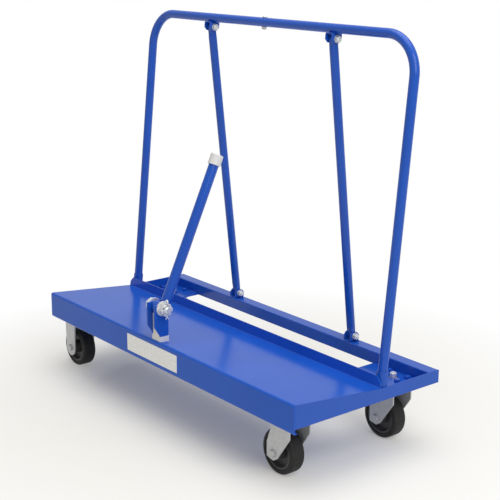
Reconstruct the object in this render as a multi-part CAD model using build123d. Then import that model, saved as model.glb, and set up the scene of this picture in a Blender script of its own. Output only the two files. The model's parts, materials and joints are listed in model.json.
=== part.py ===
from build123d import *
from math import atan2, cos, degrees, hypot, radians, sin, tan
import os

# Drywall cart: a sloped steel deck on four casters, a leaning tube hoop with two
# rear braces, and a hinged prop arm at the middle of the front edge.
# X runs along the cart, Y from its front to its back, Z up from the floor.

# Clearances and cutting
overrun = 5.0
seat_gap = 0.3
bolt_gap = 0.2
running_gap = 0.06
tube_gap = 0.2

# Frame
deck_length = 1220.0
deck_width = 531.0
back_run = 228.0
lean_angle = 5.5
sheet = 3.0
bend_inside = 3.0
skirt_drop = 15.0
skirt_return = 12.0
lip_height = 31.0
lip_corner = 16.0
rail_height = 37.0
rail_depth = 40.0
rail_wall = 3.0
rail_corner = 3.0
plate_thickness = 4.5
left_plate_width = 137.0
right_plate_width = 211.0
beam_depth = 25.0
rib_width = 40.0
rib_depth = 20.0
rib_place_share = 1 / 6

# Back frame
hoop_diameter = 26.7
hoop_wall = 2.0
hoop_bend = 105.0
hoop_height = 1139.0
hoop_setback = 21.0
socket_wall = 2.0
socket_rise = 41.0
seam_gap = 0.6
splice_length = 120.0
splice_wall = 2.5
splice_bolt_place = 23.0
splice_bolt_diameter = 8.0
splice_head_height = 3.0
splice_head_diameter = 15.0
splice_nut_flats = 13.0
splice_nut_height = 6.5
brace_diameter = 25.4
brace_wall = 2.0
brace_place = 277.0
brace_eye_width = 17.0
brace_eye_thickness = 20.0
brace_neck = 14.0
brace_taper = 16.0
bracket_gap = 1.0
bracket_bend = 2.0
bracket_sheet = 3.5
bracket_width = 36.0
bracket_height = 27.0
bracket_corner = 9.0
bracket_drop = 16.0
bracket_saddle = 1.0
brace_bolt_diameter = 10.0
brace_bolt_flats = 17.0
brace_head_height = 6.4
brace_nut_height = 8.0
washer_thickness = 2.0
washer_diameter = 21.0
thread_proud = 2.0

# Casters
wheel_diameter = 127.0
tyre_width = 45.0
tyre_depth = 14.0
tyre_shoulder = 7.0
hub_width = 58.0
hub_diameter = 38.0
disc_width = 12.0
rim_thickness = 6.0
rim_width = 41.0
rigid_inset = 46.5
swivel_inset = 102.0
caster_inset = 76.0
caster_height = 183.0
swivel_trail = 26.5
top_plate_length = 90.0
top_plate_width = 76.0
top_plate_thickness = 4.0
top_plate_corner = 6.0
caster_bolt_pitch_x = 70.0
caster_bolt_pitch_y = 40.0
caster_bolt_diameter = 10.0
caster_bolt_flats = 16.0
caster_head_height = 6.4
caster_nut_height = 8.0
fork_width = 74.0
fork_sheet = 4.0
fork_bend = 4.0
rigid_leg_top = 58.0
rigid_leg_end = 52.0
swivel_leg_front = 39.0
swivel_leg_back = 38.0
swivel_leg_knee = 59.0
swivel_leg_waist = 28.0
swivel_leg_shoulder = 66.0
swivel_foot_front = 17.5
swivel_foot_back = 25.5
swivel_foot_low = 20.5
swivel_foot_rise = 10.0
swivel_foot_toe = 2.0
swivel_foot_heel = 5.5
swivel_foot_round = 4.0
crown_rise = 100.5
race_diameter = 56.0
race_height = 5.5
raceway_diameter = 60.0
kingpin_diameter = 14.0
kingpin_flats = 22.0
kingpin_head = 8.0
kingpin_nut_flats = 18.0
kingpin_nut_height = 16.0
kingpin_thread = 12.0
kingpin_hole = 28.0
axle_diameter = 12.0
axle_flats = 19.0
axle_head = 7.0
axle_nut_height = 10.0
sleeve_diameter = 20.0

# Prop arm
arm_place = -8.0
pin_setback = 15.5
pin_height = 349.0
pin_diameter = 20.0
cheek_sheet = 4.0
cheek_gap = 32.0
cheek_top = 13.0
cheek_front = 28.0
cheek_nose = 53.0
cheek_bottom = 85.0
cheek_heel = 8.0
cheek_back = 22.5
cheek_web_top = 36.0
cheek_bend = 2.0
block_front = 10.0
block_back = 21.0
block_gap = 0.3
arm_lean = 24.4
arm_diameter = 30.0
arm_wall = 3.0
arm_offset = 20.0
arm_tail = 22.0
arm_reach = 466.0
barrel_diameter = 32.0
barrel_gap = 0.3
cap_diameter = 38.0
cap_skirt = 28.0
cap_top = 4.0
cap_corner = 3.0
pivot_flats = 34.0
pivot_head = 16.0
pivot_washer_diameter = 44.0
pivot_washer_thickness = 4.0
pivot_nut_height = 22.0
head_chamfer_angle = 30.0
head_crown_share = 0.95
pivot_slot = 5.0
pivot_slot_depth = 8.0
pivot_end = 6.0
split_pin_diameter = 4.0
split_pin_ring = 5.0
split_pin_leg = 9.0
split_pin_spread = 25.0
split_pin_leg_share = 0.6
split_pin_apart_share = 1 / 3
block_bolt_diameter = 8.0
block_bolt_flats = 13.0
block_bolt_head = 5.5
block_bolt_pitch = 20.0
block_bolt_length = 22.0
web_screw_diameter = 6.0
web_screw_head = 10.0
web_screw_rise = 3.5
web_screw_length = 12.0
web_screw_pitch = 18.0

# Places worked out from the sizes above
half_length = deck_length / 2
half_width = deck_width / 2
inner_length = half_length - sheet
frame_bottom = caster_height
plate_top = frame_bottom + plate_thickness
rail_top = frame_bottom + rail_height
rail_front = half_width - rail_depth
skirt_bottom = frame_bottom - skirt_drop
slope = tan(radians(lean_angle))
deck_run = deck_width - back_run
lean_sin = sin(radians(lean_angle))
lean_cos = cos(radians(lean_angle))
lip_y = deck_run - half_width
front_top = rail_top + deck_run * slope
under_sheet = sheet / lean_cos
bend_outside = bend_inside + sheet
hoop_radius = hoop_diameter / 2
socket_inner = hoop_radius + tube_gap
socket_outer = socket_inner + socket_wall
leg_x = inner_length - socket_outer
leg_y = lip_y + hoop_setback
hoop_length = (hoop_height - rail_top) / lean_cos
wheel_radius = wheel_diameter / 2
axle_z = wheel_radius
wheel_y = half_width - caster_inset
rigid_place = half_length - rigid_inset
swivel_place = half_length - swivel_inset
top_plate_bottom = caster_height - top_plate_thickness
crown_top = axle_z + crown_rise
race_top = crown_top + seat_gap + race_height
fork_inner = fork_width / 2 - fork_sheet
pin_y = pin_setback - half_width
arm_half = cheek_gap / 2 + cheek_sheet
arm_lean_sin = sin(radians(arm_lean))
arm_lean_cos = cos(radians(arm_lean))

# The origin is on the floor below the middle of the whole cart
left_reach = max(half_length, rigid_place + wheel_radius)
front_reach = max(half_width, cheek_front - pin_y)
centring = Pos((left_reach - half_length) / 2, (front_reach - half_width) / 2, 0)

ends = {"left": -1, "right": 1}
rows = ("front", "rear")
from_low = (Align.CENTER, Align.CENTER, Align.MIN)


def deck_height(y):
    """Height of the deck's upper face at a place from front to back."""
    return rail_top + (lip_y - y) * slope


def block(x, y, z):
    """A box between pairs of limits."""
    size = (x[1] - x[0], y[1] - y[0], z[1] - z[0])
    return Pos(x[0], y[0], z[0]) * Box(*size, align=(Align.MIN, Align.MIN, Align.MIN))


def rod_x(radius, start, end):
    return Pos(start, 0, 0) * Rot(0, 90, 0) * Cylinder(radius, end - start, align=from_low)


def rod_y(radius, start, end):
    return Pos(0, start, 0) * Rot(-90, 0, 0) * Cylinder(radius, end - start, align=from_low)


def rod_z(radius, start, end):
    return Pos(0, 0, start) * Cylinder(radius, end - start, align=from_low)


def outline_x(points, start, end):
    """A solid from an outline in Y and Z, between two places along X."""
    face = make_face(Polyline(*points, close=True))
    return extrude(Plane.YZ.offset(start) * face, end - start)


def outline_y(points, start, end):
    """A solid from an outline in X and Z, between two places along Y."""
    face = make_face(Polyline(*points, close=True))
    return extrude(Plane.XZ.offset(-start) * face, start - end)


def strip(points, radii, thickness):
    """The section of a folded sheet, which lies to the right of a line of its face."""
    line = FilletPolyline(*points, radius=radii)
    return make_face(offset(line, thickness, side=Side.RIGHT))


# Fasteners, each with its axis along Z and its bearing face at zero


def hex_head(flats, height):
    """A hexagon whose upper corners are turned off."""
    crown = flats / 2 * head_crown_share
    spread = height / tan(radians(head_chamfer_angle))
    hexagon = extrude(RegularPolygon(flats / 2, 6, major_radius=False), height)
    return hexagon & Cone(crown + spread, crown, height, align=from_low)


def hex_bolt(diameter, flats, head, length):
    """A bolt with its head above zero and its shank below."""
    return hex_head(flats, head) + rod_z(diameter / 2, -length, 0)


def hex_nut(diameter, flats, height):
    return hex_head(flats, height) - rod_z(diameter / 2, -overrun, height + overrun)


def washer(diameter, bore, thickness):
    return rod_z(diameter / 2, 0, thickness) - rod_z(bore / 2, -overrun, thickness + overrun)


# Welded frame

deck_front = -half_width
deck_behind = deck_front + sheet
beam_y = lip_y - bend_inside
lip_top_z = rail_top + lip_height * lean_cos
bolt_spread = (caster_bolt_pitch_x / 2, caster_bolt_pitch_y / 2)
casters = {
    "rigid_front": (-rigid_place, -wheel_y),
    "rigid_rear": (-rigid_place, wheel_y),
    "swivel_front": (swivel_place, -wheel_y),
    "swivel_rear": (swivel_place, wheel_y),
}
swivel_places = (casters["swivel_front"], casters["swivel_rear"])


def caster_bolt_places():
    """The sixteen bolts that hold the casters, as places in X and Y."""
    corners = [(i, j) for i in (-1, 1) for j in (-1, 1)]
    return [
        (x + i * bolt_spread[0], y + j * bolt_spread[1])
        for x, y in casters.values()
        for i, j in corners
    ]


def block_bolt_frames():
    """The two screws that hold the plastic block, square to the deck."""
    y = pin_y + (block_back - block_front) / 2
    return [
        Pos(arm_place + i * block_bolt_pitch / 2, y, deck_height(y)) * Rot(-lean_angle, 0, 0)
        for i in (-1, 1)
    ]


def lip_corner_cut(side):
    """The waste beyond the sloping corner of the lip at one end."""
    end = side * inner_length
    points = [
        (end, lip_top_z - lip_corner),
        (end - side * lip_corner, lip_top_z),
        (end - side * lip_corner, lip_top_z + overrun),
        (end + side * overrun, lip_top_z + overrun),
        (end + side * overrun, lip_top_z - lip_corner),
    ]
    return outline_y(points, lip_y - overrun, lip_y + lip_height)


def make_deck_panel():
    points = [
        (deck_front + skirt_return, skirt_bottom),
        (deck_front, skirt_bottom),
        (deck_front, front_top),
        (lip_y, rail_top),
        (lip_y + lip_height * lean_sin, lip_top_z),
    ]
    section = strip(points, [bend_outside, bend_outside, bend_inside], sheet)
    panel = extrude(Plane.YZ.offset(-half_length) * section, deck_length)
    for side in (-1, 1):
        width = sorted((side * inner_length, side * (half_length + overrun)))
        panel -= block(width, (deck_behind, half_width), (skirt_bottom - overrun, hoop_height))
        panel -= lip_corner_cut(side)
    hole = rod_z(block_bolt_diameter / 2 + bolt_gap, -overrun, overrun)
    for frame in block_bolt_frames():
        panel -= frame * hole
    return panel


def make_side_plate(side):
    """An end plate whose top edge follows the deck and then runs level."""
    points = [
        (deck_front, frame_bottom),
        (deck_front, front_top),
        (lip_y, rail_top),
        (half_width, rail_top),
        (half_width, frame_bottom),
    ]
    face = make_face(Polyline(*points, close=True))
    face = fillet(face.vertices().sort_by(Axis.Y)[-1], bend_outside)
    start = min(side * inner_length, side * half_length)
    plate = extrude(Plane.YZ.offset(start) * face, sheet)
    waste = block((start, start + sheet), (deck_front - overrun, deck_behind), (0, hoop_height))
    return plate - waste


def make_rear_rail():
    outer = RectangleRounded(rail_depth, rail_height, rail_corner)
    hollow = (rail_depth - 2 * rail_wall, rail_height - 2 * rail_wall)
    inner = RectangleRounded(*hollow, rail_corner / 2)
    section = Pos(half_width - rail_depth / 2, frame_bottom + rail_height / 2) * (outer - inner)
    return extrude(Plane.YZ.offset(-inner_length) * section, 2 * inner_length)


def make_caster_plate(side):
    width = left_plate_width if side < 0 else right_plate_width
    x = sorted((side * inner_length, side * (inner_length - width)))
    plate = block(x, (deck_behind, rail_front), (frame_bottom, plate_top))
    hole = rod_z(caster_bolt_diameter / 2 + bolt_gap, frame_bottom - overrun, plate_top + overrun)
    for bolt_x, bolt_y in caster_bolt_places():
        if bolt_x * side > 0 and bolt_y < rail_front:
            plate -= Pos(bolt_x, bolt_y, 0) * hole
    if side > 0:
        opening = rod_z(kingpin_hole / 2, frame_bottom - overrun, plate_top + overrun)
        for place in swivel_places:
            plate -= Pos(*place, 0) * opening
    return plate


def make_deck_beam():
    """A folded channel under the deck's rear edge, standing on the caster plates."""
    front = beam_y - beam_depth
    points = [
        (front, deck_height(front) - under_sheet),
        (beam_y, deck_height(beam_y) - under_sheet),
        (beam_y, plate_top),
        (front, plate_top),
    ]
    section = strip(points, [bend_outside, bend_outside], sheet)
    return extrude(Plane.YZ.offset(-inner_length) * section, 2 * inner_length)


def make_deck_ribs():
    """Two folded channels under the deck, from the skirt to the beam."""
    start = deck_behind + bend_outside
    length = (beam_y - beam_depth - start) / lean_cos - seat_gap
    half = rib_width / 2
    points = [(-half, 0), (-half, rib_depth), (half, rib_depth), (half, 0)]
    rib = extrude(strip(points, [bend_outside, bend_outside], sheet), length)
    top = deck_height(start) - under_sheet
    ribs = []
    for side in (-1, 1):
        origin = (side * deck_length * rib_place_share, start, top)
        along = Plane(origin=origin, x_dir=(1, 0, 0), z_dir=(0, lean_cos, -lean_sin))
        ribs.append(along * rib)
    return ribs


# Leaning back frame

hoop_frame = Pos(0, leg_y, rail_top) * Rot(-lean_angle, 0, 0)
leg_foot = (rail_top - plate_top) / lean_cos
below_plate = block(
    (-half_length, half_length), (-half_width, half_width), (plate_top - rail_height, plate_top)
)


def make_hoop_socket(side):
    reach = leg_foot + socket_outer
    tube = rod_z(socket_outer, -reach, socket_rise) - rod_z(socket_inner, -reach, socket_rise)
    return hoop_frame * Pos(side * leg_x, 0, 0) * tube - below_plate


def splice_bolt_hole():
    radius = splice_bolt_diameter / 2 + bolt_gap
    start = hoop_length - hoop_diameter
    return Pos(-splice_bolt_place, 0, 0) * rod_z(radius, start, hoop_length + hoop_diameter)


def make_hoop(side):
    """Half of the hoop: a leg, its bend and half of the top rail."""
    low = -leg_foot - hoop_radius
    points = [
        (side * leg_x, 0, low),
        (side * leg_x, 0, hoop_length),
        (side * seam_gap / 2, 0, hoop_length),
    ]
    path = FilletPolyline(*points, radius=hoop_bend)
    ring = Circle(hoop_radius) - Circle(hoop_radius - hoop_wall)
    half = sweep(Plane(origin=path @ 0, z_dir=path % 0) * ring, path)
    if side < 0:
        half -= splice_bolt_hole()
    return hoop_frame * half - below_plate


def make_hoop_splice():
    radius = hoop_radius - hoop_wall - tube_gap
    half = splice_length / 2
    tube = rod_x(radius, -half, half) - rod_x(radius - splice_wall, -half, half)
    return hoop_frame * (Pos(0, 0, hoop_length) * tube - splice_bolt_hole())


def make_splice_bolt():
    head = rod_z(splice_head_diameter / 2, 0, splice_head_height)
    head = fillet(head.edges().sort_by(Axis.Z)[-1], splice_head_height / 2)
    length = hoop_diameter + splice_nut_height + thread_proud
    bolt = head + rod_z(splice_bolt_diameter / 2, -length, 0)
    return hoop_frame * Pos(-splice_bolt_place, 0, hoop_length + hoop_radius) * bolt


def make_splice_nut():
    nut = Rot(180, 0, 0) * hex_nut(splice_bolt_diameter, splice_nut_flats, splice_nut_height)
    return hoop_frame * Pos(-splice_bolt_place, 0, hoop_length - hoop_radius) * nut


# Rear braces and their brackets

bracket_inner = brace_eye_thickness / 2 + bracket_gap
bracket_outer = bracket_inner + bracket_sheet
foot_y = half_width - rail_depth / 2
foot_z = rail_top + bracket_drop
top_s = hoop_length - hoop_radius + bracket_saddle - bracket_drop
top_y = leg_y + top_s * lean_sin
top_z = rail_top + top_s * lean_cos
brace_length = hypot(top_y - foot_y, top_z - foot_z)
brace_tilt = degrees(atan2(foot_y - top_y, top_z - foot_z))


def brace_bracket():
    """A folded U bracket that hangs below zero, with cut corners and a bolt hole."""
    outer = bracket_outer
    points = [(-outer, -bracket_height), (-outer, 0), (outer, 0), (outer, -bracket_height)]
    radius = bracket_sheet + bracket_bend
    section = strip(points, [radius, radius], bracket_sheet)
    half = bracket_width / 2
    folded = extrude(Plane.XZ.offset(-half) * section, bracket_width)
    ear = [
        (-half, 0),
        (half, 0),
        (half, bracket_corner - bracket_height),
        (half - bracket_corner, -bracket_height),
        (bracket_corner - half, -bracket_height),
        (-half, bracket_corner - bracket_height),
    ]
    folded &= outline_x(ear, -outer, outer)
    hole = rod_x(brace_bolt_diameter / 2 + bolt_gap, -outer - overrun, outer + overrun)
    return folded - Pos(0, 0, -bracket_drop) * hole


def make_top_bracket(side):
    place = Pos(side * brace_place, 0, hoop_length - hoop_radius + bracket_saddle)
    saddle = Pos(0, 0, hoop_length) * rod_x(hoop_radius, -half_length, half_length)
    return hoop_frame * (place * brace_bracket() - saddle)


def make_foot_bracket(side):
    return Pos(side * brace_place, foot_y, rail_top) * Rot(180, 0, 0) * brace_bracket()


def brace_end():
    """The necked end of a brace, with its bolt hole at zero and the tube above."""
    flat = RectangleRounded(brace_eye_thickness, brace_eye_width, brace_wall)
    lug = extrude(flat, brace_neck)
    half = brace_eye_thickness / 2
    eye = rod_x(brace_eye_width / 2, -half, half)
    top = brace_neck + brace_taper
    circle = Pos(0, 0, top) * Circle(brace_diameter / 2)
    taper = loft([Pos(0, 0, brace_neck) * flat, circle])
    hole = rod_x(brace_bolt_diameter / 2 + bolt_gap, -half - overrun, half + overrun)
    return eye + lug + taper - hole


def make_brace(side):
    shoulder = brace_neck + brace_taper
    outer = rod_z(brace_diameter / 2, shoulder, brace_length - shoulder)
    inner = rod_z(brace_diameter / 2 - brace_wall, shoulder, brace_length - shoulder)
    end = brace_end()
    top = Pos(0, 0, brace_length) * Rot(180, 0, 0) * end
    place = Pos(side * brace_place, foot_y, foot_z) * Rot(brace_tilt, 0, 0)
    return place * (outer - inner + end + top)


def brace_bolt_frames():
    """Both ends of both braces."""
    ends_yz = ((foot_y, foot_z), (top_y, top_z))
    return [Pos(side * brace_place, y, z) for side in (-1, 1) for y, z in ends_yz]


def make_brace_bolts():
    length = 2 * bracket_outer + washer_thickness + brace_nut_height + thread_proud
    bolt = hex_bolt(brace_bolt_diameter, brace_bolt_flats, brace_head_height, length)
    bolt = Pos(-bracket_outer, 0, 0) * Rot(0, -90, 0) * bolt
    return [frame * bolt for frame in brace_bolt_frames()]


def make_brace_nuts():
    nut = Rot(0, 90, 0) * hex_nut(brace_bolt_diameter, brace_bolt_flats, brace_nut_height)
    nut = Pos(bracket_outer + washer_thickness, 0, 0) * nut
    return [frame * nut for frame in brace_bolt_frames()]


def make_brace_washers():
    bore = brace_bolt_diameter + 2 * bolt_gap
    ring = Rot(0, 90, 0) * washer(washer_diameter, bore, washer_thickness)
    ring = Pos(bracket_outer, 0, 0) * ring
    return [frame * ring for frame in brace_bolt_frames()]


# Casters

crown_bottom = crown_top - fork_sheet
axle_hole = axle_diameter / 2 + bolt_gap


def top_plate():
    """A caster's top plate with its four holes, centred on zero."""
    shape = RectangleRounded(top_plate_length, top_plate_width, top_plate_corner)
    for i in (-1, 1):
        for j in (-1, 1):
            hole = Circle(caster_bolt_diameter / 2 + bolt_gap)
            shape -= Pos(i * bolt_spread[0], j * bolt_spread[1]) * hole
    return Pos(0, 0, top_plate_bottom) * extrude(shape, top_plate_thickness)


def folded_fork(back, front, top):
    """A sheet folded to a U over the wheel, between two places along X."""
    half = fork_width / 2
    points = [(-half, 0), (-half, top), (half, top), (half, 0)]
    radius = fork_sheet + fork_bend
    section = strip(points, [radius, radius], fork_sheet)
    return extrude(Plane.YZ.offset(back) * section, front - back)


def through_fork(radius, x):
    half = fork_width / 2 + overrun
    return Pos(x, 0, axle_z) * rod_y(radius, -half, half)


def make_rigid_fork(place):
    """A fixed caster pressed from one sheet: the top plate and both legs."""
    top = rigid_leg_top / 2
    end = rigid_leg_end / 2
    points = [(-top, caster_height), (top, caster_height), (end, axle_z), (-end, axle_z)]
    half = fork_width / 2
    leg = outline_y(points, -half, half) + through_fork(end, 0)
    fork = folded_fork(-top, top, caster_height) & leg
    return Pos(*place, 0) * (fork + top_plate() - through_fork(axle_hole, 0))


def swivel_leg():
    """The outline of a swivel fork's legs, from the kingpin's axis."""
    front = swivel_leg_front
    axle_x = -swivel_trail
    points = [
        (front, crown_top),
        (front, axle_z + swivel_leg_knee),
        (axle_x + swivel_foot_front, axle_z - swivel_foot_low + swivel_foot_rise),
        (axle_x + swivel_foot_toe, axle_z - swivel_foot_low),
        (axle_x - swivel_foot_back, axle_z - swivel_foot_low + swivel_foot_heel),
        (axle_x - swivel_foot_back, axle_z + swivel_leg_waist),
        (-swivel_leg_back, axle_z + swivel_leg_shoulder),
        (-swivel_leg_back, crown_top),
    ]
    face = make_face(Polyline(*points, close=True))
    low = face.vertices().filter_by(lambda v: v.Y < crown_top - fork_sheet)
    face = fillet(low, swivel_foot_round)
    half = fork_width / 2
    return extrude(Plane.XZ.offset(-half) * face, fork_width)


def make_swivel_fork(place):
    heel = swivel_trail + swivel_foot_back
    fork = folded_fork(-heel, swivel_leg_front, crown_top) & swivel_leg()
    fork -= through_fork(axle_hole, -swivel_trail)
    bore = kingpin_diameter / 2 + running_gap
    fork -= rod_z(bore, crown_bottom - overrun, crown_top + overrun)
    return Pos(*place, 0) * fork


def make_swivel_plate(place):
    """The fixed top of a swivel caster: a plate with a pressed raceway below."""
    narrow = race_diameter / 2
    wide = raceway_diameter / 2
    dish = Pos(0, 0, race_top) * Cone(narrow, wide, top_plate_bottom - race_top, align=from_low)
    plate = top_plate() + dish
    plate -= rod_z(kingpin_diameter / 2 + bolt_gap, race_top - overrun, caster_height + overrun)
    return Pos(*place, 0) * plate


def make_swivel_race(place):
    outer = rod_z(race_diameter / 2, crown_top + seat_gap, race_top)
    bore = race_diameter / 2 - race_height
    return Pos(*place, 0) * (outer - rod_z(bore, crown_top, race_top + overrun))


def make_kingpin(place):
    under = crown_bottom - seat_gap
    shaft = rod_z(kingpin_diameter / 2, under, caster_height)
    head = Pos(0, 0, under) * Rot(180, 0, 0) * hex_head(kingpin_flats, kingpin_head)
    nut = Pos(0, 0, caster_height) * hex_head(kingpin_nut_flats, kingpin_nut_height)
    top = caster_height + kingpin_nut_height
    thread = rod_z(kingpin_thread / 2, caster_height, top + thread_proud)
    return Pos(*place, 0) * (shaft + head + nut + thread)


def wheel_place(name):
    x, y = casters[name]
    if name.startswith("swivel"):
        x -= swivel_trail
    return Pos(x, y, axle_z)


def make_axle(name):
    half = fork_width / 2
    length = fork_width + axle_nut_height + thread_proud
    bolt = Rot(90, 0, 0) * hex_bolt(axle_diameter, axle_flats, axle_head, length)
    return wheel_place(name) * Pos(0, -half, 0) * bolt


def make_axle_nut(name):
    nut = Rot(-90, 0, 0) * hex_nut(axle_diameter, axle_flats, axle_nut_height)
    return wheel_place(name) * Pos(0, fork_width / 2, 0) * nut


def make_axle_sleeve(name):
    outer = rod_y(sleeve_diameter / 2, -fork_inner, fork_inner)
    return wheel_place(name) * (outer - rod_y(axle_hole, -fork_inner, fork_inner))


def make_wheel(name):
    """The wheel's centre: a hub, a dished disc and a rim, turned in one piece."""
    bore = sleeve_diameter / 2 + running_gap
    rim_outer = wheel_radius - tyre_depth
    rim_inner = rim_outer - rim_thickness
    slant = (hub_width - disc_width) / 4
    half_section = [
        (bore, hub_width / 2),
        (hub_diameter / 2, hub_width / 2),
        (hub_diameter / 2 + slant / 2, disc_width / 2),
        (rim_inner - slant / 2, disc_width / 2),
        (rim_inner, rim_width / 2),
        (rim_outer, rim_width / 2),
    ]
    points = half_section + [(r, -y) for r, y in reversed(half_section)]
    face = make_face(Polyline(*points, close=True))
    return wheel_place(name) * revolve(face, Axis.Y)


def make_tyre(name):
    inner = wheel_radius - tyre_depth
    section = Pos((wheel_radius + inner) / 2, 0) * Rectangle(tyre_depth, tyre_width)
    shoulders = section.vertices().group_by(Axis.X)[-1]
    section = fillet(shoulders, tyre_shoulder)
    return wheel_place(name) * revolve(section, Axis.Y)


def make_caster_bolts():
    """Bolts put in from below, with a flat of each head facing the cart's ends."""
    length = plate_thickness + top_plate_thickness + caster_nut_height
    bolt = hex_bolt(caster_bolt_diameter, caster_bolt_flats, caster_head_height, length)
    bolt = Rot(180, 0, 30) * bolt
    return [Pos(x, y, top_plate_bottom) * bolt for x, y in caster_bolt_places()]


def make_caster_nuts():
    """Nuts welded on the caster plates and painted with them."""
    nut = hex_nut(caster_bolt_diameter, caster_bolt_flats, caster_nut_height)
    nut = Rot(0, 0, 30) * nut
    return [Pos(x, y, plate_top) * nut for x, y in caster_bolt_places()]


# Prop arm and the block and bracket that carry it

pin_frame = Pos(arm_place, pin_y, pin_height)
arm_frame = pin_frame * Rot(-arm_lean, 0, 0)
bracket_foot_z = pin_height - cheek_bottom
tongue_back = cheek_back - cheek_sheet - block_gap
tongue_half = cheek_gap / 2 - block_gap
washer_face = arm_half + pivot_washer_thickness
pin_hole_x = washer_face + pivot_nut_height - pivot_slot_depth / 2


def tongue_top(y):
    """Height above the pin of the stop face that the arm's lower end rests on."""
    return -(arm_tail + seat_gap + y * arm_lean_sin) / arm_lean_cos


def web_screw_heights():
    low = (block_bolt_length - cheek_bottom) + web_screw_head / 2
    return (low, low + web_screw_pitch)


def make_arm_block():
    """A plastic block with a foot on the deck and a tongue between the cheeks."""
    front = -block_front
    foot = [
        (front, deck_height(pin_y + front) - pin_height),
        (block_back, deck_height(pin_y + block_back) - pin_height),
        (block_back, -cheek_bottom),
        (front, -cheek_bottom),
    ]
    tongue = [
        (front, -cheek_bottom),
        (tongue_back, -cheek_bottom),
        (tongue_back, tongue_top(tongue_back)),
        (front, tongue_top(front)),
    ]
    upper = outline_x(tongue, -tongue_half, tongue_half)
    rear_edges = upper.edges().filter_by(Axis.Z).group_by(Axis.Y)[-1]
    upper = chamfer(rear_edges, cheek_bend)
    body = pin_frame * (outline_x(foot, -arm_half, arm_half) + upper)
    hole = rod_z(block_bolt_diameter / 2 + bolt_gap, -overrun, block_bolt_length)
    for frame in block_bolt_frames():
        body -= frame * hole
    screw = rod_y(web_screw_diameter / 2 + bolt_gap, tongue_back - web_screw_length, block_back)
    for height in web_screw_heights():
        body -= pin_frame * Pos(0, 0, height) * screw
    return body


def make_block_bolts():
    size = (block_bolt_diameter, block_bolt_flats, block_bolt_head)
    screw = Rot(180, 0, 0) * hex_bolt(*size, sheet + block_bolt_length)
    screw = Pos(0, 0, -sheet) * screw
    return [frame * screw for frame in block_bolt_frames()]


def make_arm_bracket():
    """A plate folded to a U, with a cut-away web behind and two shaped cheeks."""
    points = [
        (arm_half, -cheek_front),
        (arm_half, cheek_back),
        (-arm_half, cheek_back),
        (-arm_half, -cheek_front),
    ]
    radius = cheek_sheet + cheek_bend
    section = strip([(-x, y) for x, y in points], [radius, radius], cheek_sheet)
    folded = Pos(0, 0, -cheek_bottom) * extrude(section, cheek_bottom + cheek_top)
    cheek = [
        (-cheek_front, cheek_top),
        (-cheek_front, -cheek_nose),
        (-cheek_heel, -cheek_bottom),
        (cheek_back, -cheek_bottom),
        (cheek_back, cheek_top),
    ]
    folded &= outline_x(cheek, -arm_half, arm_half)
    behind = (cheek_back - cheek_sheet - cheek_bend, cheek_back + overrun)
    half = cheek_gap / 2
    folded -= block((-half, half), behind, (-cheek_web_top, cheek_top + overrun))
    hole = pin_diameter / 2 + bolt_gap
    folded -= rod_x(hole, -arm_half - overrun, arm_half + overrun)
    screw = rod_y(web_screw_diameter / 2 + bolt_gap, 0, cheek_back + overrun)
    for height in web_screw_heights():
        folded -= Pos(0, 0, height) * screw
    return pin_frame * folded


def make_bracket_screws():
    length = cheek_sheet + block_gap + web_screw_length
    screw = rod_y(web_screw_diameter / 2, cheek_back - length, cheek_back)
    screw += rod_y(web_screw_head / 2, cheek_back, cheek_back + web_screw_rise)
    heights = web_screw_heights()
    return [pin_frame * Pos(0, 0, height) * screw for height in heights]


def make_pivot_bolt():
    length = 2 * washer_face + pivot_nut_height + pivot_end
    bolt = hex_bolt(pin_diameter, pivot_flats, pivot_head, length)
    bolt = Pos(-washer_face, 0, 0) * Rot(0, -90, 0) * bolt
    radius = split_pin_diameter / 2 + bolt_gap
    bolt -= Pos(pin_hole_x, 0, 0) * rod_z(radius, -pin_diameter, pin_diameter)
    return pin_frame * bolt


def make_pivot_washers():
    bore = pin_diameter + 2 * bolt_gap
    ring = Rot(0, 90, 0) * washer(pivot_washer_diameter, bore, pivot_washer_thickness)
    places = (-washer_face, arm_half)
    return [pin_frame * Pos(x, 0, 0) * ring for x in places]


def make_pivot_nut():
    """A slotted nut, whose slots run through its flats and take the split pin."""
    nut = Rot(0, 0, 30) * hex_nut(pin_diameter, pivot_flats, pivot_nut_height)
    half = pivot_slot / 2
    depth = (pivot_nut_height - pivot_slot_depth, pivot_nut_height + overrun)
    slot = block((-pivot_flats, pivot_flats), (-half, half), depth)
    for turn in range(3):
        nut -= Rot(0, 0, 60 * turn) * slot
    return pin_frame * Pos(washer_face, 0, 0) * Rot(0, 90, 0) * nut


def make_split_pin():
    """A split pin with its eye above the nut and its two legs bent apart below."""
    radius = split_pin_diameter / 2
    reach = pivot_flats / 2 + radius
    pin = rod_z(radius, -reach, reach)
    pin += Pos(0, 0, reach + split_pin_ring) * Rot(90, 0, 0) * Torus(split_pin_ring, radius)
    thin = radius * split_pin_leg_share
    apart = radius * split_pin_apart_share
    for side in (-1, 1):
        leg = rod_z(thin, -split_pin_leg, 0) + Sphere(thin)
        pin += Pos(0, side * apart, -reach) * Rot(side * split_pin_spread, 0, 0) * leg
    return pin_frame * Pos(pin_hole_x, 0, 0) * pin


def make_arm_barrel():
    half = cheek_gap / 2 - barrel_gap
    bore = pin_diameter / 2 + running_gap
    return arm_frame * (rod_x(barrel_diameter / 2, -half, half) - rod_x(bore, -half, half))


def make_arm_tube():
    """The arm's tube, coped to the barrel and cut square at both ends."""
    radius = arm_diameter / 2
    tube = rod_z(radius, -arm_tail, arm_reach) - rod_z(radius - arm_wall, -arm_tail, arm_reach)
    cope = rod_x(barrel_diameter / 2, -arm_diameter, arm_diameter)
    return arm_frame * (Pos(0, arm_offset, 0) * tube - cope)


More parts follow.
